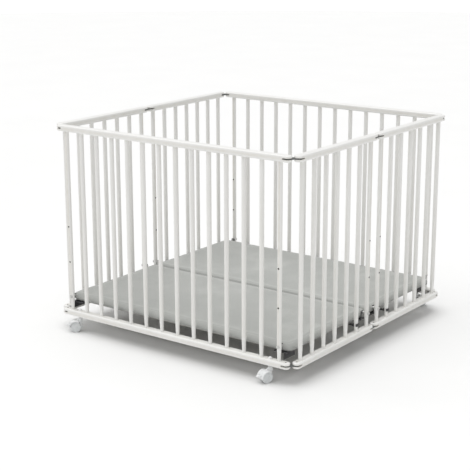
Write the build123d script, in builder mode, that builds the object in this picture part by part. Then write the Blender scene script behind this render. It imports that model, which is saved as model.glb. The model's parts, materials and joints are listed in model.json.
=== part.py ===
from build123d import *
import os
from dataclasses import dataclass
from math import atan2, degrees

# Folding playpen in millimetres. The origin is on the ground, under the middle of the pen.
# +Z is up, -Y is the front and +X is the right as seen from the front.
# Front and rear panels are rigid, each side panel is two halves that fold inwards at a middle hinge.

os.makedirs("parts", exist_ok=True)

# ---- driving dimensions -------------------------------------------------------------------------
WIDTH = 984.0             # between the centre lines of the left and right panels
DEPTH = 960.0             # between the centre lines of the front and rear panels
BAR_PITCH = 68.0          # front and rear panels
SIDE_BAR_PITCH = 67.23    # side panels
BAR_COUNT = 14            # bars in each panel

RAIL_DEPTH = 28.0
RAIL_HEIGHT = 21.0
RAIL_EDGE = 5.0           # rounding along the rails
GROUND_GAP = 55.5         # ground to the underside of the bottom rails
BAR_CLEAR = 636.0         # between the bottom rail and the top rail

BAR_R = 7.5
BAR_FOOT_R = 6.0          # the bars narrow towards the bottom rail
BAR_TAPER = 50.0
TENON_R = 5.0
TENON_LENGTH = 10.0
SOCKET_PLAY = 0.05        # a tenon in its socket, a shank in its hole

HINGE_INSET = 24.5        # corner hinge pin to the centre lines of both panels that meet there
PIN_R = 3.0
PIN_PLAY = 0.06           # running clearance of a link on its pin
PIN_COVER = 2.0           # wood left over a pin's blind end
PIN_SUNK = 0.5            # a pin's open end below the rail's face
PIN_SOCKET_DEPTH = 2.0
LINK_WIDTH = 20.0
LINK_THICK = 4.0
SLOT_HEIGHT = 5.0         # saw cut in a rail's end, where the link lies
SLOT_BEYOND_PIN = 11.0

FLOOR_HOLES = (123.5, 250.5, 377.5)   # three heights for the floor's bolts, lowest in use
BOLT_R = 3.0
BOLT_HEAD_R = 5.5
BOLT_HEAD_HEIGHT = 3.0
BOLT_HEAD_RIM = 1.0       # straight part of the head's edge
BOLT_SHORT = 1.5          # the bolt's tip inside its sleeve nut
BOLT_SOCKET_R = 2.2
BOLT_SOCKET_DEPTH = 1.8
PEG_R = 4.5               # sleeve nut that the floor's bracket hangs on
PEG_END = 16.1            # from the bar's centre line
PEG_FLANGE = 2.0
PEG_FLANGE_R = 6.0

FLOOR_HALF_WIDTH = 475.4
FLOOR_HALF_DEPTH = 463.4
FLOOR_CORNER_R = 18.0
SEAM_HALF_GAP = 1.0
BOARD_UNDERSIDE = 100.0
BOARD_THICK = 6.5
MAT_THICK = 21.0
MAT_EDGE = 7.0

BRACKET_PLATE = 3.0
BRACKET_LEG = 1.8
BRACKET_LEG_START = 14.3  # from the bar's centre line, just inside the rails' inner faces
BRACKET_REACH = 75.0      # from the bar's centre line
WEB_THICK = 2.5
WEB_BEHIND = 9.0          # the web's outer side, from the bar's centre line
WEB_BOTTOM = 77.0         # a stiffening web under the flange
BRACKET_TOP = 131.0
POST_NEAR = 5.5           # along the panel, from the bar's centre line
POST_FAR = 11.0
ARM_BEHIND = 3.2
ARM_PLAY = 0.3            # over a sleeve nut
FLANGE_PLAY = 0.8         # from a sleeve nut's end
FLANGE_BEHIND = 17.0
FLANGE_AHEAD = 33.0

CLIP_R = 9.8
CLIP_HEIGHT = 8.8
CLIP_SHELF_THICK = 3.0
CLIP_PLAY = 0.3           # under the board
CLIP_SPLIT = 8.0
CLIP_SHELF_WIDTH = 12.0
CLIP_SHELF_END = 25.0     # from the bar's centre line

CASTOR_X = 408.0          # half way between the first and second bar
WHEEL_R = 18.5
WHEEL_WIDTH = 11.0
WHEEL_INNER = 4.5         # from the castor's middle plane to the wheel
TRAIL = 16.0              # the wheels trail behind the stem
FRONT_TURNS = {-1: 36.5, 1: 67.5}     # how far the front left and right castors have swivelled
WHEEL_PLAY = 0.5
STEM_R = 4.0
STEM_START = 40.0         # the stem's lower end, inside the hood's boss
STEM_ABOVE = 3.0          # the stem's thread above the rail, inside the cap nut
COLLAR_R = 6.0
COLLAR_HEIGHT = 3.0
CAP_R = 6.5
CAP_RIM = 2.0             # straight part of the cap nut's edge
CAP_BORE = 4.0
CAP_HEIGHT = 7.0
AXLE_R = 2.5
BOSS_R = 7.0
BOSS_START = 36.0
BOSS_END = 50.5
BOSS_EDGE = 1.5
STEM_HOLE_PLAY = 0.5      # under the stem's lower end
HUB_R = 6.2
WEB_TOP = 47.0            # where the web meets the boss
FENDER_R = 22.8
FENDER_THICK = 3.0
FENDER_HALF_WIDTH = 17.0
FENDER_START = 17.5       # the fender's lower edge above the ground
WEB_START = 16.5
FENDER_FRONT = -5.0       # where the fender ends beside the boss
TREAD_CHAMFER = 1.5
TREAD_END = 4.0           # from the wheel's outer face
FACE_R = 14.0             # the wheel face's raised rim
CAP_STEP_R = 6.5          # the wheel's hub cap
LEVER_BEHIND_AXLE = 25.5
LEVER_ABOVE_AXLE = 7.5
LEVER_HALF_WIDTH = 5.0
LEVER_PLAY = 0.3
LEVER_R = 3.0             # the lever's eye
LEVER_LENGTH = 9.0
LEVER_PIN_R = 1.5
EAR_R = 3.5
EAR_THICK = 3.0
EAR_ROOT = 2.5            # how far the ears run into the fender

# ---- derived levels -----------------------------------------------------------------------------
PIN_SPACING = HINGE_INSET * 2 ** 0.5
BOTTOM_RAIL_TOP = GROUND_GAP + RAIL_HEIGHT
TOP_RAIL_UNDERSIDE = BOTTOM_RAIL_TOP + BAR_CLEAR
BOARD_TOP = BOARD_UNDERSIDE + BOARD_THICK
RAILS = {"bottom": GROUND_GAP, "top": TOP_RAIL_UNDERSIDE}


def write(builder, label):
    """Name a finished node and write its STEP file."""
    builder.part.label = label
    export_step(builder.part, f"parts/{label}.step")


def patch(x0, x1, y0, y1, mode=Mode.ADD):
    """Rectangle between two corners, in the current sketch."""
    with Locations(((x0 + x1) / 2, (y0 + y1) / 2)):
        Rectangle(x1 - x0, y1 - y0, mode=mode)


def discs(points, radius, mode=Mode.ADD):
    """Equal circles at several points of the current sketch."""
    with Locations(*points):
        Circle(radius, mode=mode)


# ---- panels -------------------------------------------------------------------------------------
@dataclass
class Panel:
    """A rail-and-bar panel: local x runs along it, local y points into the pen."""

    name: str
    plane: Plane
    pins: tuple       # local x of the two hinge pins
    bars: list        # local x of each bar
    peg_bars: list    # bars that carry the floor's bolts
    clip_bars: list   # bars with a floor clip
    stems: list       # local x of the castor stems


def straight_panel(name, y, x_dir):
    """The front or rear panel, with a bar that carries the floor at each end."""
    bars = [(i - (BAR_COUNT - 1) / 2) * BAR_PITCH for i in range(BAR_COUNT)]
    pin = WIDTH / 2 - HINGE_INSET
    plane = Plane(origin=(0, y, 0), x_dir=x_dir, z_dir=(0, 0, 1))
    return Panel(name, plane, (-pin, pin), bars, [bars[0], bars[-1]], [], [-CASTOR_X, CASTOR_X])


def side_half(name, x_sign, y_sign):
    """Half of a side panel, from its corner pin to its middle pin."""
    corner = DEPTH / 2 - HINGE_INSET
    middle = PIN_SPACING / 2
    centre = (corner + middle) / 2
    span = corner - middle
    plane = Plane(
        origin=(x_sign * WIDTH / 2, y_sign * centre, 0), x_dir=(0, x_sign, 0), z_dir=(0, 0, 1)
    )
    along = x_sign * y_sign     # which way local x points, away from the middle hinge or towards it
    bars = [along * ((i + 0.5) * SIDE_BAR_PITCH - centre) for i in range(BAR_COUNT // 2)]
    return Panel(name, plane, (-span / 2, span / 2), bars, [bars[0]], [bars[1]], [])


front = straight_panel("front", -DEPTH / 2, (1, 0, 0))
rear = straight_panel("rear", DEPTH / 2, (-1, 0, 0))
halves = {
    (x, y): side_half(f"{side}_{end}", x, y)
    for side, x in (("left", -1), ("right", 1))
    for end, y in (("front", -1), ("rear", 1))
}
panels = [front, rear, *halves.values()]


def turned_bar():
    """One bar on the Z axis with its tenons, narrowing towards the bottom rail."""
    with BuildPart() as bar:
        with BuildSketch(Plane.XZ):
            with BuildLine():
                foot = BOTTOM_RAIL_TOP
                head = TOP_RAIL_UNDERSIDE
                Polyline((BAR_FOOT_R, foot), (TENON_R, foot), (TENON_R, foot - TENON_LENGTH),
                         (0, foot - TENON_LENGTH), (0, head + TENON_LENGTH),
                         (TENON_R, head + TENON_LENGTH), (TENON_R, head), (BAR_R, head),
                         (BAR_R, foot + BAR_TAPER))
                Spline((BAR_R, foot + BAR_TAPER), (BAR_FOOT_R, foot), tangents=((0, -1), (0, -1)))
            make_face()
        revolve(axis=Axis.Z)
    return bar.part


def make_rail(panel, level, underside):
    """A rail with full-round ends, rounded edges, hinge slots, pin bores and bar sockets."""
    is_bottom = level == "bottom"
    middle = underside + RAIL_HEIGHT / 2
    with BuildPart() as rail:
        with BuildSketch(panel.plane.offset(underside)):
            SlotCenterToCenter(panel.pins[1] - panel.pins[0], RAIL_DEPTH)
        extrude(amount=RAIL_HEIGHT)
        ends = rail.faces().sort_by(Axis.Z)
        fillet(ends[0].edges() + ends[-1].edges(), radius=RAIL_EDGE)
        with BuildSketch(panel.plane.offset(middle - SLOT_HEIGHT / 2)):
            for pin, outward in zip(panel.pins, (-1, 1)):
                inner = pin - outward * SLOT_BEYOND_PIN
                outer = pin + outward * RAIL_DEPTH
                patch(min(inner, outer), max(inner, outer), -RAIL_DEPTH, RAIL_DEPTH)
        extrude(amount=SLOT_HEIGHT, mode=Mode.SUBTRACT)
        pin_start = underside + (PIN_COVER if is_bottom else 0)
        with BuildSketch(panel.plane.offset(pin_start)):
            discs([(pin, 0) for pin in panel.pins], PIN_R + SOCKET_PLAY / 2)
        extrude(amount=RAIL_HEIGHT - PIN_COVER, mode=Mode.SUBTRACT)
        socket = TENON_LENGTH + SOCKET_PLAY
        socket_start = underside + (RAIL_HEIGHT - socket if is_bottom else 0)
        with BuildSketch(panel.plane.offset(socket_start)):
            discs([(x, 0) for x in panel.bars], TENON_R + SOCKET_PLAY)
        extrude(amount=socket, mode=Mode.SUBTRACT)
        if is_bottom and panel.stems:
            with BuildSketch(panel.plane.offset(underside)):
                discs([(x, 0) for x in panel.stems], STEM_R)
            extrude(amount=RAIL_HEIGHT, mode=Mode.SUBTRACT)
    write(rail, f"{panel.name}_{level}_rail")


def make_bars(panel, bar):
    """The panel's bars, with three bolt holes through those that carry the floor."""
    with BuildPart(panel.plane) as bars:
        with Locations(*[(x, 0, 0) for x in panel.bars]):
            add(bar)
        with Locations(*[(x, 0, z) for x in panel.peg_bars for z in FLOOR_HOLES]):
            Cylinder(BOLT_R + 2 * SOCKET_PLAY, 4 * BAR_R, rotation=(90, 0, 0), mode=Mode.SUBTRACT)
    write(bars, f"{panel.name}_bars")


def make_hinge_pins(panel):
    """Vertical pins in the four slotted rail ends, with a socket in the end that shows."""
    with BuildPart() as pins:
        for level, underside in RAILS.items():
            is_bottom = level == "bottom"
            start = underside + (PIN_COVER + SOCKET_PLAY if is_bottom else PIN_SUNK)
            length = RAIL_HEIGHT - PIN_COVER - PIN_SUNK - SOCKET_PLAY
            with BuildSketch(panel.plane.offset(start)):
                discs([(pin, 0) for pin in panel.pins], PIN_R)
            extrude(amount=length)
            socket_start = start + length - PIN_SOCKET_DEPTH if is_bottom else start
            with BuildSketch(panel.plane.offset(socket_start)):
                with Locations(*[(pin, 0) for pin in panel.pins]):
                    RegularPolygon(PIN_R / 2, 6)
            extrude(amount=PIN_SOCKET_DEPTH, mode=Mode.SUBTRACT)
    write(pins, f"{panel.name}_hinge_pins")


def floor_bolt():
    """A pan-head bolt and its sleeve nut, pointing up the Z axis from the bar's centre line."""
    with BuildPart() as bolt:
        with BuildSketch(Plane.XZ):
            with BuildLine():
                shank = BOLT_R - SOCKET_PLAY
                top = PEG_END - BOLT_SHORT
                rim = -BAR_R - BOLT_HEAD_RIM
                crown = -BAR_R - BOLT_HEAD_HEIGHT
                Polyline((0, crown), (0, top), (shank, top), (shank, -BAR_R),
                         (BOLT_HEAD_R, -BAR_R), (BOLT_HEAD_R, rim))
                Spline((BOLT_HEAD_R, rim), (0, crown), tangents=((0, -1), (-1, 0)))
            make_face()
        revolve(axis=Axis.Z)
        with BuildSketch(Plane.XY.offset(crown)):
            RegularPolygon(BOLT_SOCKET_R, 6)
        extrude(amount=BOLT_SOCKET_DEPTH, mode=Mode.SUBTRACT)
        with BuildSketch(Plane.XY.offset(BAR_R)):
            Circle(PEG_FLANGE_R)
            Circle(BOLT_R, mode=Mode.SUBTRACT)
        extrude(amount=PEG_FLANGE)
        with BuildSketch(Plane.XY.offset(BAR_R + PEG_FLANGE)):
            Circle(PEG_R)
            Circle(BOLT_R, mode=Mode.SUBTRACT)
        extrude(amount=PEG_END - BAR_R - PEG_FLANGE)
    return bolt.part


def make_floor_bolts(panel, bolt):
    """The bolts, pointing into the pen, with the sleeve nuts that the floor hangs on."""
    with BuildPart(panel.plane) as bolts:
        with Locations(*[Location((x, 0, FLOOR_HOLES[0]), (-90, 0, 0)) for x in panel.peg_bars]):
            add(bolt)
    write(bolts, f"{panel.name}_floor_bolts")


def make_floor_clip(panel):
    """A split ring snapped round one bar, with a shelf under the edge of the floor board."""
    start = BOARD_UNDERSIDE - CLIP_PLAY - CLIP_SHELF_THICK
    with BuildPart() as clip:
        for x in panel.clip_bars:
            with BuildSketch(panel.plane.offset(start)):
                discs([(x, 0)], CLIP_R)
                discs([(x, 0)], BAR_R - SOCKET_PLAY, mode=Mode.SUBTRACT)
                patch(x - CLIP_R, x, -CLIP_SPLIT / 2, CLIP_SPLIT / 2, mode=Mode.SUBTRACT)
            extrude(amount=CLIP_HEIGHT)
            with BuildSketch(panel.plane.offset(start)):
                patch(x - CLIP_SHELF_WIDTH / 2, x + CLIP_SHELF_WIDTH / 2, BAR_R, CLIP_SHELF_END)
                discs([(x, 0)], BAR_R - SOCKET_PLAY, mode=Mode.SUBTRACT)
            extrude(amount=CLIP_SHELF_THICK)
    write(clip, f"{panel.name}_floor_clip")


def castor_stem():
    """A castor's stem with its collar under the rail, and the cap nut on top of the rail."""
    with BuildPart() as stem:
        radius = STEM_R - SOCKET_PLAY
        with BuildSketch(Plane.XY.offset(STEM_START)):
            Circle(radius)
        extrude(amount=BOTTOM_RAIL_TOP + STEM_ABOVE - STEM_START)
        with BuildSketch(Plane.XY.offset(GROUND_GAP - COLLAR_HEIGHT)):
            Circle(COLLAR_R)
        extrude(amount=COLLAR_HEIGHT)
        with BuildSketch(Plane.XZ):
            with BuildLine():
                seat = BOTTOM_RAIL_TOP
                bore = seat + CAP_BORE
                Polyline((0, seat + CAP_HEIGHT), (0, bore), (STEM_R, bore), (STEM_R, seat),
                         (CAP_R, seat), (CAP_R, seat + CAP_RIM))
                Spline((CAP_R, seat + CAP_RIM), (0, seat + CAP_HEIGHT), tangents=((0, 1), (-1, 0)))
            make_face()
        revolve(axis=Axis.Z)
    return stem.part


def make_castor_stems(panel, stem):
    """The stems of the panel's two castors, through its bottom rail."""
    with BuildPart(panel.plane) as stems:
        with Locations(*[(x, 0, 0) for x in panel.stems]):
            add(stem)
    write(stems, f"{panel.name}_castor_stems")


# ---- hinge links --------------------------------------------------------------------------------
def make_link(name, first, second):
    """Two steel plates, one in the bottom rails' slots and one in the top rails' slots."""
    middle = ((first[0] + second[0]) / 2, (first[1] + second[1]) / 2)
    angle = degrees(atan2(second[1] - first[1], second[0] - first[0]))
    with BuildPart() as link:
        for underside in RAILS.values():
            with BuildSketch(Plane.XY.offset(underside + (RAIL_HEIGHT - LINK_THICK) / 2)):
                with Locations(middle):
                    SlotCenterToCenter(PIN_SPACING, LINK_WIDTH, rotation=angle)
                discs([first, second], PIN_R + PIN_PLAY, mode=Mode.SUBTRACT)
            extrude(amount=LINK_THICK)
    write(link, name)


# ---- castors ------------------------------------------------------------------------------------
AXLE_POINT = (-TRAIL, WHEEL_R)
LEVER_POINT = (-TRAIL - LEVER_BEHIND_AXLE, WHEEL_R + LEVER_ABOVE_AXLE)
AXLE_PLANE = Plane(origin=(-TRAIL, 0, WHEEL_R), x_dir=(0, 1, 0), z_dir=(1, 0, 0))


def side_sketch(y):
    """Vertical plane across the castor at y, where the sketch's axes are X and Z."""
    return Plane(origin=(0, y, 0), x_dir=(1, 0, 0), z_dir=(0, -1, 0))


def castor_hood():
    """Web, fender and stem boss of a twin-wheel castor, with ears for a brake lever."""
    with BuildPart() as hood:
        with BuildSketch(Plane.XZ):
            discs([AXLE_POINT], FENDER_R)
            patch(-2 * TRAIL - FENDER_R, TRAIL, -WHEEL_R, WEB_START, mode=Mode.SUBTRACT)
            discs([AXLE_POINT], HUB_R)
            Polygon((-TRAIL, WHEEL_R), (BOSS_R, BOSS_START), (BOSS_R, WEB_TOP),
                    (-BOSS_R, WEB_TOP), (-TRAIL, WHEEL_R + FENDER_R), align=None)
        extrude(amount=WHEEL_INNER - WHEEL_PLAY, both=True)
        with BuildSketch(Plane.XZ):
            discs([AXLE_POINT], FENDER_R)
            discs([AXLE_POINT], FENDER_R - FENDER_THICK, mode=Mode.SUBTRACT)
            patch(-2 * TRAIL - FENDER_R, TRAIL, -WHEEL_R, FENDER_START, mode=Mode.SUBTRACT)
            patch(FENDER_FRONT, TRAIL, -WHEEL_R, BOSS_END, mode=Mode.SUBTRACT)
        extrude(amount=FENDER_HALF_WIDTH, both=True)
        with BuildSketch(Plane.XY.offset(BOSS_START)):
            Circle(BOSS_R)
        extrude(amount=BOSS_END - BOSS_START)
        fillet(hood.faces().sort_by(Axis.Z)[-1].edges(), radius=BOSS_EDGE)
        ear_start = LEVER_HALF_WIDTH + LEVER_PLAY
        for outer in (ear_start + EAR_THICK, -ear_start):
            with BuildSketch(side_sketch(outer)):
                discs([LEVER_POINT], EAR_R)
                patch(LEVER_POINT[0], -TRAIL - FENDER_R + EAR_ROOT, LEVER_POINT[1] - EAR_R,
                      LEVER_POINT[1] + EAR_R)
            extrude(amount=EAR_THICK)
        with BuildSketch(Plane.XZ):
            discs([LEVER_POINT], LEVER_PIN_R)
        extrude(amount=LEVER_HALF_WIDTH + EAR_THICK, both=True)
        with BuildSketch(Plane.XY.offset(STEM_START - STEM_HOLE_PLAY)):
            Circle(STEM_R)
        extrude(amount=BOSS_END, mode=Mode.SUBTRACT)
        with BuildSketch(Plane.XZ):
            discs([AXLE_POINT], AXLE_R + PIN_PLAY)
        extrude(amount=BOSS_END, both=True, mode=Mode.SUBTRACT)
    return hood.part


def castor_wheels():
    """Two wheels with domed, recessed faces and the axle that joins them."""
    outer = WHEEL_INNER + WHEEL_WIDTH
    tread_end = outer - TREAD_END
    with BuildPart() as wheels:
        with BuildSketch(AXLE_PLANE):
            with BuildLine():
                bore = AXLE_R + SOCKET_PLAY
                Polyline((WHEEL_INNER, bore), (WHEEL_INNER, WHEEL_R - TREAD_CHAMFER),
                         (WHEEL_INNER + TREAD_CHAMFER, WHEEL_R), (tread_end, WHEEL_R))
                Spline((tread_end, WHEEL_R), (outer - 1, FACE_R), tangents=((1, 0), (0.3, -1)))
                Polyline((outer - 1, FACE_R), (outer - 2, FACE_R - 0.6), (outer - 1.4, CAP_STEP_R),
                         (outer - 0.4, CAP_STEP_R - 0.5), (outer, CAP_STEP_R - 2), (outer, bore),
                         (WHEEL_INNER, bore))
            make_face()
        revolve(axis=Axis((-TRAIL, 0, WHEEL_R), (0, 1, 0)))
        mirror(about=Plane.XZ)
        with BuildSketch(Plane.XZ):
            discs([AXLE_POINT], AXLE_R)
        extrude(amount=outer - 1, both=True)
    return wheels.part


def brake_lever():
    """A small pedal behind the fender that turns on the hood's pin."""
    x, z = LEVER_POINT
    with BuildPart() as lever:
        with BuildSketch(Plane.XZ):
            discs([LEVER_POINT], LEVER_R)
            Polygon((x - 1, z + 2.6), (x + 1 - LEVER_LENGTH, z + 1), (x - LEVER_LENGTH, z - 1.5),
                    (x - 1, z - 2.4), align=None)
            discs([LEVER_POINT], LEVER_PIN_R + PIN_PLAY, mode=Mode.SUBTRACT)
        extrude(amount=LEVER_HALF_WIDTH, both=True)
    return lever.part


def place_castor_piece(piece, name, spot):
    """Write a castor piece under its stem, with the castor swivelled."""
    with BuildPart() as placed:
        with Locations(spot):
            add(piece)
    write(placed, name)


# ---- floor --------------------------------------------------------------------------------------
def make_floor_slab(name, y_sign, start, thickness, edge):
    """Half of the floor from the middle seam outwards, with its two outer corners rounded."""
    near, far = sorted((y_sign * FLOOR_HALF_DEPTH, y_sign * SEAM_HALF_GAP))
    with BuildPart() as slab:
        with BuildSketch(Plane.XY.offset(start)):
            patch(-FLOOR_HALF_WIDTH, FLOOR_HALF_WIDTH, near, far)
        extrude(amount=thickness)
        corners = slab.edges().filter_by(Axis.Z).sort_by(Axis.Y)
        fillet(corners[:2] if y_sign < 0 else corners[-2:], radius=FLOOR_CORNER_R)
        if edge:
            fillet(slab.faces().sort_by(Axis.Z)[-1].edges(), radius=edge)
    write(slab, name)


def floor_bracket(panel, x, inward, toward, has_web):
    """An angle bracket: flange under the board, post beside the sleeve nut and an arm over it.
    Along the panel's local x, inward is the way the flange reaches from its bar, and toward is
    the side of the bar that the post stands on."""
    leg_end = BRACKET_LEG_START + BRACKET_LEG
    flange_start = PEG_END + FLANGE_PLAY
    arm_start = FLOOR_HOLES[0] + PEG_R + ARM_PLAY
    near, far = sorted((x + toward * POST_NEAR, x + toward * POST_FAR))
    wide = sorted((x - inward * FLANGE_BEHIND, x + inward * FLANGE_AHEAD))
    arm = sorted((x - toward * ARM_BEHIND, x + toward * POST_FAR))
    with BuildPart() as bracket:
        with BuildSketch(panel.plane.offset(BOARD_UNDERSIDE - BRACKET_PLATE)):
            patch(wide[0], wide[1], flange_start, BRACKET_REACH)
            patch(near, far, BRACKET_LEG_START, flange_start)
        extrude(amount=BRACKET_PLATE)
        with BuildSketch(panel.plane.offset(BOARD_UNDERSIDE)):
            patch(near, far, BRACKET_LEG_START, leg_end)
        extrude(amount=BRACKET_TOP - BOARD_UNDERSIDE)
        with BuildSketch(panel.plane.offset(arm_start)):
            patch(arm[0], arm[1], BRACKET_LEG_START, leg_end)
        extrude(amount=BRACKET_TOP - arm_start)
        if has_web:
            outer = x - inward * WEB_BEHIND
            web = sorted((outer, outer + inward * WEB_THICK))
            with BuildSketch(panel.plane.offset(WEB_BOTTOM)):
                patch(web[0], web[1], flange_start, BRACKET_REACH)
            extrude(amount=BOARD_UNDERSIDE - BRACKET_PLATE - WEB_BOTTOM)
    return bracket.part


def make_floor_brackets(name, end_panel, y_sign):
    """Four brackets of one floor half: two on the end panel and one on each side panel."""
    pieces = [floor_bracket(end_panel, x, -1 if x > 0 else 1, -1, True)
              for x in end_panel.peg_bars]
    for x_sign in (-1, 1):
        half = halves[(x_sign, y_sign)]
        turned = x_sign * y_sign
        pieces.append(floor_bracket(half, half.peg_bars[0], turned, turned, False))
    with BuildPart() as brackets:
        add(pieces)
    write(brackets, name)


# ---- make every node ----------------------------------------------------------------------------
bar = turned_bar()
bolt = floor_bolt()
for panel in panels:
    for level, underside in RAILS.items():
        make_rail(panel, level, underside)
    make_bars(panel, bar)
    make_hinge_pins(panel)
    make_floor_bolts(panel, bolt)
for panel in halves.values():
    make_floor_clip(panel)
stem = castor_stem()
for panel in (front, rear):
    make_castor_stems(panel, stem)

for side, x_sign in (("left", -1), ("right", 1)):
    middle_x = x_sign * WIDTH / 2
    make_link(f"{side}_middle_link", (middle_x, -PIN_SPACING / 2), (middle_x, PIN_SPACING / 2))
    for end, y_sign in (("front", -1), ("rear", 1)):
        end_pin = (x_sign * (WIDTH / 2 - HINGE_INSET), y_sign * DEPTH / 2)
        side_pin = (middle_x, y_sign * (DEPTH / 2 - HINGE_INSET))
        make_link(f"{end}_{side}_corner_link", end_pin, side_pin)

castor_pieces = {
    "castor_hood": castor_hood(),
    "castor_wheels": castor_wheels(),
    "brake_lever": brake_lever(),
}
for side, x_sign in (("left", -1), ("right", 1)):
    for end, y_sign in (("front", -1), ("rear", 1)):
        # the rear castors stand as the front ones do after half a turn of the pen
        turn = FRONT_TURNS[x_sign] if y_sign < 0 else 180 + FRONT_TURNS[-x_sign]
        spot = Location((x_sign * CASTOR_X, y_sign * DEPTH / 2, 0), (0, 0, turn))
        for piece_name, piece in castor_pieces.items():
            place_castor_piece(piece, f"{end}_{side}_{piece_name}", spot)

for end, y_sign, end_panel in (("front", -1, front), ("rear", 1, rear)):
    make_floor_slab(f"{end}_floor_board", y_sign, BOARD_UNDERSIDE, BOARD_THICK, 0)
    make_floor_slab(f"{end}_mat", y_sign, BOARD_TOP, MAT_THICK, MAT_EDGE)
    make_floor_brackets(f"{end}_floor_brackets", end_panel, y_sign)
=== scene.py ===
import bpy
import bmesh
import json
from math import cos, pi, radians, sin
from mathutils import Matrix, Vector, noise
from mathutils.bvhtree import BVHTree


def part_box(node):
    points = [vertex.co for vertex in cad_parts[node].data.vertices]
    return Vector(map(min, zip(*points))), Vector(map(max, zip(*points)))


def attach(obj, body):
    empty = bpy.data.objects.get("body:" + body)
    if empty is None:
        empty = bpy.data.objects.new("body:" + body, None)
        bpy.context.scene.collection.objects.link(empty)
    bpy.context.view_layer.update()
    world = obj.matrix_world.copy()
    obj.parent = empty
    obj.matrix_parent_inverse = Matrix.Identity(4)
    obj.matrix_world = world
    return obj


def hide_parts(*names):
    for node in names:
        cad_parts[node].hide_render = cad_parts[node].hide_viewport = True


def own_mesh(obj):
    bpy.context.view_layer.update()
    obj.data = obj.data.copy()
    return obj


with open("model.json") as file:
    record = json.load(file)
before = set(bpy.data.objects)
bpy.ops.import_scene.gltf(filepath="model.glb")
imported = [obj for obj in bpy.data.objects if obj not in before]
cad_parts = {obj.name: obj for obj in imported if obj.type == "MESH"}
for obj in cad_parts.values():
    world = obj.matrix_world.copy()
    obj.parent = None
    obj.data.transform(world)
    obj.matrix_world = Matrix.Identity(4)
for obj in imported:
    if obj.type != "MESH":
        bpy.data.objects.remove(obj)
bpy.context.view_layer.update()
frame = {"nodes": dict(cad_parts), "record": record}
NODES = frame["nodes"]

# ---- camera -------------------------------------------------------------------------------------
CAMERA_PLACE = (2.513, -3.506, 1.4485)
CAMERA_AZIMUTH = 36.53
CAMERA_ELEVATION = 14.75
CAMERA_ROLL = -0.13

camera_data = bpy.data.cameras.new("camera")
camera_data.lens = 95.27
camera_data.sensor_width = 36
camera_data.clip_end = 60
camera = bpy.data.objects.new("camera", camera_data)
bpy.context.scene.collection.objects.link(camera)
turn = (Matrix.Rotation(radians(CAMERA_AZIMUTH), 4, "Z")
        @ Matrix.Rotation(radians(90 - CAMERA_ELEVATION), 4, "X")
        @ Matrix.Rotation(radians(CAMERA_ROLL), 4, "Z"))
camera.matrix_world = Matrix.Translation(CAMERA_PLACE) @ turn
bpy.context.scene.camera = camera
bpy.context.scene.view_settings.view_transform = "Standard"


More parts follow.
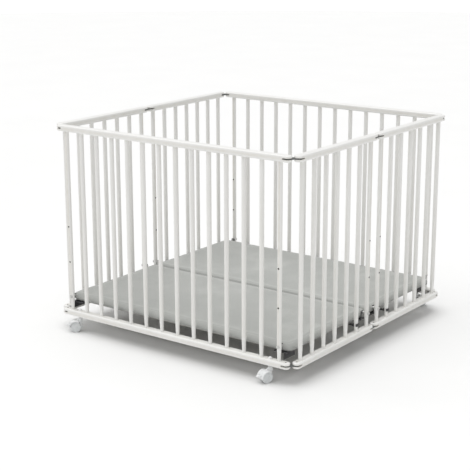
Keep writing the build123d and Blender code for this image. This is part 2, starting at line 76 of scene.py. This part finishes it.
# ---- materials ----------------------------------------------------------------------------------
class Shader:
    """A Principled material and short names for the nodes that feed it."""

    def __init__(self, name, **sockets):
        self.material = bpy.data.materials.new(name)
        self.material.use_nodes = True
        self.tree = self.material.node_tree
        self.surface = self.tree.nodes["Principled BSDF"]
        for socket, value in sockets.items():
            self.surface.inputs[socket.replace("_", " ")].default_value = value
        self.coordinates = self.tree.nodes.new("ShaderNodeTexCoord").outputs["Object"]

    def link(self, source, target):
        self.tree.links.new(source, target)

    def stretched(self, scale):
        mapping = self.tree.nodes.new("ShaderNodeMapping")
        mapping.inputs["Scale"].default_value = scale
        self.link(self.coordinates, mapping.inputs["Vector"])
        return mapping.outputs["Vector"]

    def noise(self, scale, detail=4.0, rough=0.55, vector=None):
        node = self.tree.nodes.new("ShaderNodeTexNoise")
        node.inputs["Scale"].default_value = scale
        node.inputs["Detail"].default_value = detail
        node.inputs["Roughness"].default_value = rough
        self.link(vector or self.coordinates, node.inputs["Vector"])
        return node.outputs["Fac"]

    def wave(self, scale, direction, distortion=0.0, vector=None):
        node = self.tree.nodes.new("ShaderNodeTexWave")
        node.bands_direction = direction
        node.inputs["Scale"].default_value = scale
        node.inputs["Distortion"].default_value = distortion
        node.inputs["Detail"].default_value = 1.0
        self.link(vector or self.coordinates, node.inputs["Vector"])
        return node.outputs["Fac"]

    def ramp(self, source, stops):
        node = self.tree.nodes.new("ShaderNodeValToRGB")
        elements = node.color_ramp.elements
        while len(elements) < len(stops):
            elements.new(0.5)
        for element, (place, colour) in zip(elements, stops):
            element.position = place
            element.color = (*colour, 1)
        self.link(source, node.inputs["Fac"])
        return node.outputs["Color"]

    def span(self, source, low, high, from_low=0.0, from_high=1.0):
        node = self.tree.nodes.new("ShaderNodeMapRange")
        node.inputs["From Min"].default_value = from_low
        node.inputs["From Max"].default_value = from_high
        node.inputs["To Min"].default_value = low
        node.inputs["To Max"].default_value = high
        self.link(source, node.inputs["Value"])
        return node.outputs["Result"]

    def math(self, operation, a, b):
        node = self.tree.nodes.new("ShaderNodeMath")
        node.operation = operation
        for socket, value in zip(node.inputs, (a, b)):
            if isinstance(value, float):
                socket.default_value = value
            else:
                self.link(value, socket)
        return node.outputs["Value"]

    def mix(self, factor, a, b, blend="MIX"):
        node = self.tree.nodes.new("ShaderNodeMix")
        node.data_type = "RGBA"
        node.blend_type = blend
        for socket, value in ((node.inputs[0], factor), (node.inputs[6], a), (node.inputs[7], b)):
            if isinstance(value, (float, tuple)):
                socket.default_value = value if isinstance(value, float) else (*value, 1)
            else:
                self.link(value, socket)
        return node.outputs[2]

    def colour(self, source):
        self.link(source, self.surface.inputs["Base Color"])

    def roughness(self, source):
        self.link(source, self.surface.inputs["Roughness"])

    def bump(self, source, strength, distance):
        node = self.tree.nodes.new("ShaderNodeBump")
        node.inputs["Strength"].default_value = strength
        node.inputs["Distance"].default_value = distance
        self.link(source, node.inputs["Height"])
        last = self.surface.inputs["Normal"]
        if last.is_linked:
            self.link(last.links[0].from_socket, node.inputs["Normal"])
        self.link(node.outputs["Normal"], last)

    def edges(self, low=0.5, high=0.6):
        """0 on the flats and 1 on the sharpest edges."""
        node = self.tree.nodes.new("ShaderNodeNewGeometry")
        return self.span(node.outputs["Pointiness"], 0.0, 1.0, low, high)


def lacquer(name, along):
    """White satin lacquer over beech, with the grain just showing along one axis."""
    s = Shader(name, Roughness=0.38, IOR=1.5, Coat_Weight=0.12, Coat_Roughness=0.22)
    scale = [150.0, 150.0, 150.0]
    scale["XYZ".index(along)] = 5.0
    grain = s.noise(1.0, 5.0, 0.6, s.stretched(scale))
    cloud = s.noise(7.0, 3.0)
    coat = s.ramp(cloud, [(0.3, (0.84, 0.836, 0.817)), (0.7, (0.872, 0.869, 0.853))])
    pores = s.ramp(grain, [(0.3, (0.955, 0.95, 0.935)), (0.55, (1.0, 1.0, 1.0))])
    worn = s.math("MULTIPLY", s.edges(0.52, 0.62), s.noise(45.0, 3.0))
    s.colour(s.mix(worn, s.mix(1.0, coat, pores, "MULTIPLY"), (0.72, 0.69, 0.62)))
    s.roughness(s.span(s.noise(28.0), 0.30, 0.46, 0.3, 0.7))
    s.bump(grain, 0.10, 0.0004)
    s.bump(s.noise(700.0, 2.0), 0.05, 0.0001)
    return s.material


def metal(name, dark, light, rough, metallic, scratch=0.15):
    s = Shader(name, Metallic=metallic, Roughness=rough)
    cloud = s.noise(160.0, 4.0)
    s.colour(s.ramp(cloud, [(0.3, dark), (0.7, light)]))
    scratches = s.noise(1.0, 3.0, 0.7, s.stretched((900.0, 60.0, 900.0)))
    s.roughness(s.span(scratches, rough - 0.1, rough + 0.14, 0.3, 0.7))
    s.bump(scratches, scratch, 0.0001)
    return s.material


def powder(name, dark, light, rough=0.5):
    """Powder coat: a fine orange peel that wears a little on the edges."""
    s = Shader(name, Roughness=rough)
    s.colour(s.mix(s.edges(0.53, 0.65), s.ramp(s.noise(40.0), [(0.3, dark), (0.7, light)]),
                   tuple(min(1.0, 1.6 * c + 0.02) for c in light)))
    s.roughness(s.span(s.noise(90.0), rough - 0.08, rough + 0.12, 0.3, 0.7))
    s.bump(s.noise(1500.0, 2.0), 0.25, 0.0001)
    return s.material


def moulded(name, dark, light, rough, peel=0.08):
    """Moulded plastic: slight sink and flow marks, and a fine spark-eroded texture."""
    s = Shader(name, Roughness=rough, IOR=1.49)
    s.colour(s.ramp(s.noise(35.0, 2.0), [(0.3, dark), (0.7, light)]))
    s.roughness(s.span(s.noise(120.0), rough - 0.07, rough + 0.1, 0.3, 0.7))
    s.bump(s.noise(2200.0, 2.0), peel, 0.0001)
    s.bump(s.noise(60.0, 1.0), 0.05, 0.0006)
    return s.material


def woven(name, dark, light, pitch=0.0011):
    """Plain weave cover: warp and weft ribs, slubs, and soft tonal drift."""
    s = Shader(name, Roughness=0.88, Sheen_Weight=0.18, Sheen_Roughness=0.5)
    scale = 1 / pitch / 20 * pi           # a wave texture has 20 / pi bands to the metre at scale 1
    warp, weft, rise = (s.wave(scale, direction, 0.6) for direction in "XYZ")
    weave = s.math("MULTIPLY", s.math("MAXIMUM", warp, rise), s.math("MAXIMUM", weft, rise))
    cloud = s.noise(9.0, 4.0)
    base = s.ramp(cloud, [(0.3, dark), (0.7, light)])
    thread = s.ramp(weave, [(0.0, (0.86, 0.86, 0.86)), (0.8, (1.03, 1.03, 1.03))])
    slub = s.noise(1.0, 2.0, 0.6, s.stretched((700.0, 60.0, 700.0)))
    tint = s.ramp(slub, [(0.35, (0.94, 0.94, 0.94)), (0.6, (1.0, 1.0, 1.0))])
    s.colour(s.mix(1.0, s.mix(1.0, base, thread, "MULTIPLY"), tint, "MULTIPLY"))
    s.roughness(s.span(weave, 0.94, 0.8))
    s.bump(weave, 0.35, 0.0004)
    s.bump(s.noise(26.0, 2.0), 0.12, 0.002)
    return s.material


WHITE = {axis: lacquer(f"lacquer_{axis.lower()}", axis) for axis in "XYZ"}
FINISH = {
    "pin_steel": metal("pin_steel", (0.10, 0.10, 0.10), (0.20, 0.20, 0.20), 0.38, 0.85),
    "link_steel": powder("link_steel", (0.055, 0.058, 0.056), (0.075, 0.078, 0.076), 0.45),
    "bolt_steel": metal("bolt_steel", (0.50, 0.50, 0.49), (0.66, 0.66, 0.64), 0.30, 1.0),
    # black clip plastic; also the dark tubes that paint the shade inside the spare bolt holes
    "clip_plastic": moulded("clip_plastic", (0.02, 0.02, 0.022), (0.035, 0.035, 0.037), 0.42),
    "stem_steel": powder("stem_steel", (0.74, 0.745, 0.74), (0.82, 0.82, 0.81), 0.35),
    "castor_plastic": moulded("castor_plastic", (0.78, 0.79, 0.79), (0.84, 0.85, 0.85), 0.32),
    "wheel_plastic": moulded("wheel_plastic", (0.66, 0.68, 0.68), (0.72, 0.74, 0.74), 0.36),
    "board": moulded("board", (0.40, 0.39, 0.36), (0.48, 0.47, 0.44), 0.55, 0.2),
    "mat_fabric": woven("mat_fabric", (0.41, 0.418, 0.40), (0.452, 0.46, 0.44)),
    "piping": woven("piping", (0.36, 0.37, 0.355), (0.41, 0.42, 0.405), 0.0008),
    "thread": moulded("thread", (0.40, 0.41, 0.395), (0.46, 0.47, 0.455), 0.6, 0.3),
    "bracket_black": powder("bracket_black", (0.012, 0.012, 0.013), (0.022, 0.022, 0.024), 0.42),
}


def paint(thing, material):
    """Give a whole mesh one material."""
    if not thing.material_slots:
        thing.data.materials.append(material)
    for entry in thing.material_slots:
        entry.material = material


SLOT_OF = {part["node"]: part["material_slot"] for part in frame["record"]["subparts"]}
for name, thing in NODES.items():
    if name.endswith("_bars"):
        paint(thing, WHITE["Z"])
    elif name.endswith("_rail"):
        paint(thing, WHITE["Y" if name.startswith(("left", "right")) else "X"])
    else:
        paint(thing, FINISH[SLOT_OF[name]])


# ---- mesh helpers -------------------------------------------------------------------------------
def new_object(name, mesh, material):
    for polygon in mesh.polygons:
        polygon.use_smooth = True
    thing = bpy.data.objects.new(name, mesh)
    bpy.context.scene.collection.objects.link(thing)
    paint(thing, material)
    return thing


def from_bmesh(name, bm, material):
    mesh = bpy.data.meshes.new(name)
    bm.normal_update()
    bm.to_mesh(mesh)
    bm.free()
    return new_object(name, mesh, material)


def apply_modifiers(thing):
    """Bake every modifier into the mesh."""
    graph = bpy.context.evaluated_depsgraph_get()
    mesh = bpy.data.meshes.new_from_object(thing.evaluated_get(graph))
    thing.modifiers.clear()
    thing.data = mesh
    for polygon in mesh.polygons:
        polygon.use_smooth = True


def refined_copy(node, name, bevel):
    """A node's own shape as a new mesh with softened edges."""
    copy = bpy.data.objects.new(name, NODES[node].data.copy())
    bpy.context.scene.collection.objects.link(copy)
    bm = bmesh.new()
    bm.from_mesh(copy.data)
    bmesh.ops.remove_doubles(bm, verts=bm.verts, dist=1e-6)
    bmesh.ops.dissolve_limit(bm, angle_limit=radians(1), verts=bm.verts, edges=bm.edges)
    bm.to_mesh(copy.data)
    bm.free()
    rounding = copy.modifiers.new("rounding", "BEVEL")
    rounding.width = bevel
    rounding.segments = 3
    rounding.limit_method = "ANGLE"
    rounding.angle_limit = radians(40)
    apply_modifiers(copy)
    return copy


# ---- floor --------------------------------------------------------------------------------------
CORNER_R = 0.028
SEAM_HALF_GAP = 0.0004
SWELL = 0.0035            # how far the cover may move out from the cut shape
COVER_INSET = 0.0012      # the cut shape starts this far inside the CAD solids, so that it can swell
COVER_EDGE = 0.0085       # its chamfer, which remeshing and swelling round off
COVER_VOXEL = 0.006
UNDER_LIFT = 0.001        # room below and above the cut shape for the cloth to swell into
TOP_SINK = 0.0015
SEAM_BAND = 0.004         # stays flat beside the middle seam
DRIFT = 0.0009            # slow rise and fall of the top, and finer unevenness on it
FINE_DRIFT = 0.0004
PUCKER_BAND = 0.03        # how far small gathers run in from the edges
PUCKER = 0.0007
TOP_BAND = 0.008          # the depth over which creases fade down the sides
PIPING_R = 0.0016
PIPING_HEIGHT = 0.0095    # above the board's underside
PIPING_STOP = 0.004       # how near to the middle seam it ends
PIPING_STEP = 0.02
STITCH = 0.0062           # from one stitch to the next
STITCH_ROWS = (0.009, 0.0125)
STITCH_MARGIN = 0.015
THREAD_R = 0.00045
STAPLE_PITCH = 0.052
STAPLE_INSET = 0.0125
STAPLE_HALF_SIZE = (0.0052, 0.00055, 0.00045)
BOARD_INSET = 0.016       # where the cover's turned-under edge ends and the board shows
PANEL_PROUD = 0.0003
PANEL_DEEP = 0.003


def half_outline(low, high, y_sign, inset, seam_inset=None, steps=9):
    """The outline of half the floor, from the seam round both outer corners, counter-clockwise.
    The seam between the halves lies on the X axis."""
    x_end = high.x - inset
    seam_inset = inset if seam_inset is None else seam_inset
    seam = y_sign * seam_inset
    outer = (high.y if y_sign > 0 else low.y) - y_sign * inset
    r = CORNER_R - inset
    points = [(x_end, seam)]
    for i in range(steps + 1):
        a = pi / 2 * i / steps
        points.append((x_end - r + r * cos(a), outer - y_sign * r + y_sign * r * sin(a)))
    for i in range(steps + 1):
        a = pi / 2 + pi / 2 * i / steps
        points.append((-x_end + r + r * cos(a), outer - y_sign * r + y_sign * r * sin(a)))
    points.append((-x_end, seam))
    return points if y_sign > 0 else points[::-1]


def slab(name, low, high, y_sign, inset, edge):
    """A closed pad blank with chamfered edges, ready for remeshing."""
    bm = bmesh.new()
    rings = []
    for z, grow in ((low.z, edge), (low.z + edge, 0.0), (high.z - edge, 0.0), (high.z, edge)):
        ring = half_outline(low, high, y_sign, inset + grow, SEAM_HALF_GAP + 0.14 * grow)
        rings.append([bm.verts.new((x, y, z)) for x, y in ring])
    for lower, upper in zip(rings, rings[1:]):
        for i in range(len(lower)):
            j = (i + 1) % len(lower)
            bm.faces.new((lower[i], lower[j], upper[j], upper[i]))
    bm.faces.new(rings[0][::-1])
    bm.faces.new(rings[-1])
    return from_bmesh(name, bm, FINISH["mat_fabric"])


def puff(pad, cap):
    """Swell a pad with cloth under pressure, then hold every point near where it was cut."""
    rest = [v.co.copy() for v in pad.data.vertices]
    cloth = pad.modifiers.new("cloth", "CLOTH")
    settings = cloth.settings
    settings.quality = 4
    settings.use_pressure = True
    settings.uniform_pressure_force = 4.0
    settings.tension_stiffness = 25
    settings.compression_stiffness = 25
    settings.shear_stiffness = 12
    settings.bending_stiffness = 0.6
    settings.effector_weights.gravity = 0
    cloth.collision_settings.use_collision = False
    scene = bpy.context.scene
    for step in range(1, 21):
        scene.frame_set(step)
    graph = bpy.context.evaluated_depsgraph_get()
    moved = [v.co.copy() for v in pad.evaluated_get(graph).data.vertices]
    pad.modifiers.clear()
    scene.frame_set(1)
    for vertex, before, after in zip(pad.data.vertices, rest, moved):
        shift = after - before
        if shift.length > cap:
            shift *= cap / shift.length
        vertex.co = before + shift


def make_mat(end, y_sign):
    """One half of the padded mat: cut, remeshed, swollen, then creased by its seams."""
    low = Vector(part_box(f"{end}_floor_board")[0])
    high = Vector(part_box(f"{end}_mat")[1])
    pad = slab(f"{end}_mat_cover", low + Vector((0, 0, UNDER_LIFT)), high - Vector((0, 0, TOP_SINK)),
               y_sign, COVER_INSET, COVER_EDGE)
    remesh = pad.modifiers.new("remesh", "REMESH")
    remesh.mode = "VOXEL"
    remesh.voxel_size = COVER_VOXEL
    apply_modifiers(pad)
    puff(pad, SWELL)
    seam = low.y if y_sign > 0 else high.y
    outer = max(high.y, -low.y)
    for vertex in pad.data.vertices:
        co = vertex.co
        top = max(0.0, min(1.0, (co.z - high.z) / TOP_BAND + 1))
        from_seam = abs(co.y - seam)
        if top and from_seam > SEAM_BAND:
            wave = noise.noise(Vector((co.x * 5, co.y * 5, 3.0)))
            fine = noise.noise(Vector((co.x * 24, co.y * 17, 9.0)))
            co.z += top * (DRIFT * wave + FINE_DRIFT * fine)
        to_side = high.x - abs(co.x)
        to_end = outer - abs(co.y)
        pucker = max(0.0, 1 - max(min(to_side, to_end), 0) / PUCKER_BAND) * top
        along = co.x if to_end < to_side else co.y
        co.z += pucker * PUCKER * sin(along * 210 + 3 * noise.noise(Vector((along * 9, 0, 0))))
        co.y = y_sign * max(y_sign * co.y, SEAM_HALF_GAP)
        co.z = min(co.z, high.z + SWELL)
        co.z = max(co.z, low.z)
    smooth = pad.modifiers.new("fine", "SUBSURF")
    smooth.levels = 1
    smooth.render_levels = 1
    apply_modifiers(pad)
    return pad


def make_board(end, y_sign):
    """The board's underside, inside the turned-under edge of the cover."""
    low, high = (Vector(corner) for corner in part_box(f"{end}_floor_board"))
    bm = bmesh.new()
    ring = half_outline(low, high, y_sign, BOARD_INSET)
    lower = [bm.verts.new((x, y, low.z - PANEL_PROUD)) for x, y in ring]
    upper = [bm.verts.new((x, y, low.z + PANEL_DEEP)) for x, y in ring]
    for i in range(len(ring)):
        j = (i + 1) % len(ring)
        bm.faces.new((lower[i], lower[j], upper[j], upper[i]))
    bm.faces.new(lower[::-1])
    bm.faces.new(upper)
    board = from_bmesh(f"{end}_board_panel", bm, FINISH["board"])
    rounding = board.modifiers.new("rounding", "BEVEL")
    rounding.width = 0.0008
    rounding.segments = 2
    rounding.limit_method = "ANGLE"
    apply_modifiers(board)
    return board


def tube(name, points, radius, material, sides=8):
    """A round tube through points, with its frame kept level."""
    bm = bmesh.new()
    count = len(points)
    rings = []
    for i, point in enumerate(points):
        before = points[max(i - 1, 0)]
        after = points[min(i + 1, count - 1)]
        forward = (after - before).normalized()
        side = forward.cross(Vector((0, 0, 1))).normalized()
        up = side.cross(forward)
        rings.append([bm.verts.new(point + radius * (cos(a) * side + sin(a) * up))
                      for a in (2 * pi * k / sides for k in range(sides))])
    for one, two in zip(rings, rings[1:]):
        for k in range(sides):
            n = (k + 1) % sides
            bm.faces.new((one[k], one[n], two[n], two[k]))
    bm.faces.new(rings[0][::-1])
    bm.faces.new(rings[-1])
    return from_bmesh(name, bm, material)


def surface_of(thing):
    """A tree for finding points on a piece's surface."""
    bm = bmesh.new()
    bm.from_mesh(thing.data)
    tree = BVHTree.FromBMesh(bm)
    bm.free()
    return tree


def make_piping(end, y_sign, cover):
    """Corded piping round the cover's lower edge, pressed onto the swollen cloth."""
    low = Vector(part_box(f"{end}_floor_board")[0])
    high = Vector(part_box(f"{end}_mat")[1])
    tree = surface_of(cover)
    level = low.z + PIPING_HEIGHT
    line = [Vector((x, y, level)) for x, y in half_outline(low, high, y_sign, 0.0, PIPING_STOP, 7)]
    path = []
    for one, two in zip(line, line[1:]):
        count = max(1, round((two - one).length / PIPING_STEP))
        path += [one.lerp(two, k / count) for k in range(count)]
    path.append(line[-1])
    path = [tree.find_nearest(point)[0] for point in path]
    return tube(f"{end}_mat_piping", path, PIPING_R, FINISH["piping"])


def make_stitching(end, y_sign, cover):
    """Two rows of lockstitch beside the middle seam, each stitch a short bead of thread."""
    low, high = (Vector(corner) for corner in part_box(f"{end}_mat"))
    tree = surface_of(cover)
    seam = low.y if y_sign > 0 else high.y
    bm = bmesh.new()
    for away in STITCH_ROWS:
        y = seam + y_sign * away
        for k in range(int((high.x - low.x - 2 * STITCH_MARGIN) / STITCH)):
            x = low.x + STITCH_MARGIN + k * STITCH
            centre = tree.ray_cast(Vector((x, y, high.z + 0.05)), Vector((0, 0, -1)))[0]
            shape = (Matrix.Translation(centre + Vector((0, 0, THREAD_R / 3)))
                     @ Matrix.Diagonal((STITCH * 0.4, THREAD_R, THREAD_R, 1)))
            bmesh.ops.create_uvsphere(bm, u_segments=6, v_segments=5, radius=1, matrix=shape)
    return from_bmesh(f"{end}_mat_stitching", bm, FINISH["thread"])


def make_staples(end, y_sign, cover):
    """Wire staples that hold the turned-under edge of the cover to the board."""
    low, high = (Vector(corner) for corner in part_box(f"{end}_floor_board"))
    tree = surface_of(cover)
    ring = [Vector((x, y, 0)) for x, y in half_outline(low, high, y_sign, STAPLE_INSET)]
    bm = bmesh.new()
    carried = 0.0
    for one, two in zip(ring, ring[1:] + ring[:1]):
        length = (two - one).length
        heading = (two - one).normalized()
        angle = heading.to_2d().angle_signed(Vector((1, 0)))
        while carried < length:
            spot = one + heading * carried
            carried += STAPLE_PITCH
            below = tree.ray_cast(Vector((spot.x, spot.y, low.z - 0.05)), Vector((0, 0, 1)))[0]
            if below is None:
                continue
            shape = (Matrix.Translation(below - Vector((0, 0, 0.0001)))
                     @ Matrix.Rotation(angle, 4, "Z") @ Matrix.Diagonal((*STAPLE_HALF_SIZE, 1)))
            bmesh.ops.create_uvsphere(bm, u_segments=8, v_segments=6, radius=1, matrix=shape)
        carried -= length
    return from_bmesh(f"{end}_cover_staples", bm, FINISH["bolt_steel"])


for end, y_sign in (("front", -1), ("rear", 1)):
    body = f"floor_{end}_half"
    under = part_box(f"{end}_floor_board")[0][2]
    middle = under + 0.0135
    pieces = []
    cover = make_mat(end, y_sign)
    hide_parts(f"{end}_mat")
    pieces.append((cover, middle))
    for trim, slot_name in ((make_piping(end, y_sign, cover), "mat_fabric"),
                            (make_stitching(end, y_sign, cover), "mat_fabric"),
                            (make_staples(end, y_sign, cover), "bolt_steel")):
        pieces.append((trim, middle))
    board = make_board(end, y_sign)
    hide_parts(f"{end}_floor_board")
    pieces.append((board, under + 0.002))
    brackets = refined_copy(f"{end}_floor_brackets", f"{end}_bracket_set", 0.0004)
    paint(brackets, FINISH["bracket_black"])
    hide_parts(f"{end}_floor_brackets")
    pieces.append((brackets, middle))
    for piece, z in pieces:
        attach(piece, body)
        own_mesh(piece)

# ---- spare bolt holes: dark tubes that paint the shade inside them --------------------------------
HOLE_RISE = 0.127         # from one row of holes to the next
HOLE_R = 0.00308
SHADE_LINER_WALL = 0.00015
SHADE_LINER_REACH = 0.0066      # half its length, inside the bar
SHADE_LINER_SIDES = 24
BOLT_FLANGE_R = 0.006


def add_shade_liner(bm, place):
    """A thin open tube about local Z: painted shade on the inner wall of a bolt hole."""
    angles = [2 * pi * k / SHADE_LINER_SIDES for k in range(SHADE_LINER_SIDES)]
    rings = []
    for radius, z in ((HOLE_R, -SHADE_LINER_REACH), (HOLE_R, SHADE_LINER_REACH),
                      (HOLE_R - SHADE_LINER_WALL, SHADE_LINER_REACH), (HOLE_R - SHADE_LINER_WALL, -SHADE_LINER_REACH)):
        rings.append([bm.verts.new(place @ Vector((radius * cos(a), radius * sin(a), z)))
                      for a in angles])
    for one, two in zip(rings, rings[1:] + rings[:1]):
        for k in range(SHADE_LINER_SIDES):
            n = (k + 1) % SHADE_LINER_SIDES
            bm.faces.new((one[k], one[n], two[n], two[k]))


for name in sorted(NODES):
    if not name.endswith("_floor_bolts"):
        continue
    panel = name.removesuffix("_floor_bolts")
    low, high = (Vector(corner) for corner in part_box(name))
    level = (low.z + high.z) / 2
    bars_low, bars_high = (Vector(corner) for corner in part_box(f"{panel}_bars"))
    line = (bars_low + bars_high) / 2
    if panel in ("front", "rear"):
        body = f"{panel}_panel"
        spots = [(low.x + BOLT_FLANGE_R, line.y), (high.x - BOLT_FLANGE_R, line.y)]
        lie = Matrix.Rotation(pi / 2, 4, "X")
    else:
        body = f"{panel}_half"
        spots = [(line.x, (low.y + high.y) / 2)]
        lie = Matrix.Rotation(pi / 2, 4, "Y")
    shade_liners = bmesh.new()
    for x, y in spots:
        for row in (1, 2):
            add_shade_liner(shade_liners, Matrix.Translation((x, y, level + row * HOLE_RISE)) @ lie)
    # black plastic tubes that paint the shade inside the spare bolt holes
    shade_liner = from_bmesh(f"{panel}_hole_shade_liners", shade_liners, FINISH["clip_plastic"])
    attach(shade_liner, body)

# ---- floor of the room and light ------------------------------------------------------------------
ground = bmesh.new()
bmesh.ops.create_circle(ground, cap_ends=True, segments=96, radius=14)
paper = Shader("studio_floor", Roughness=0.6)
paper.colour(paper.ramp(paper.noise(2.0), [(0.3, (0.87, 0.87, 0.865)), (0.7, (0.885, 0.885, 0.88))]))
from_bmesh("studio_floor", ground, paper.material)

world = bpy.data.worlds.new("studio")
bpy.context.scene.world = world
world.use_nodes = True
background = world.node_tree.nodes["Background"]
path = world.node_tree.nodes.new("ShaderNodeLightPath")
level = world.node_tree.nodes.new("ShaderNodeMapRange")
level.inputs["To Min"].default_value = 0.53
level.inputs["To Max"].default_value = 1.1
world.node_tree.links.new(path.outputs["Is Camera Ray"], level.inputs["Value"])
world.node_tree.links.new(level.outputs["Result"], background.inputs["Strength"])
background.inputs["Color"].default_value = (1, 1, 1, 1)


def sun(name, toward, strength, spread):
    data = bpy.data.lights.new(name, "SUN")
    data.energy = strength
    data.angle = radians(spread)
    lamp = bpy.data.objects.new(name, data)
    lamp.rotation_euler = Vector(toward).to_track_quat("Z", "Y").to_euler()
    bpy.context.scene.collection.objects.link(lamp)


sun("key", (-0.16, -0.10, 0.98), 2.1, 75)
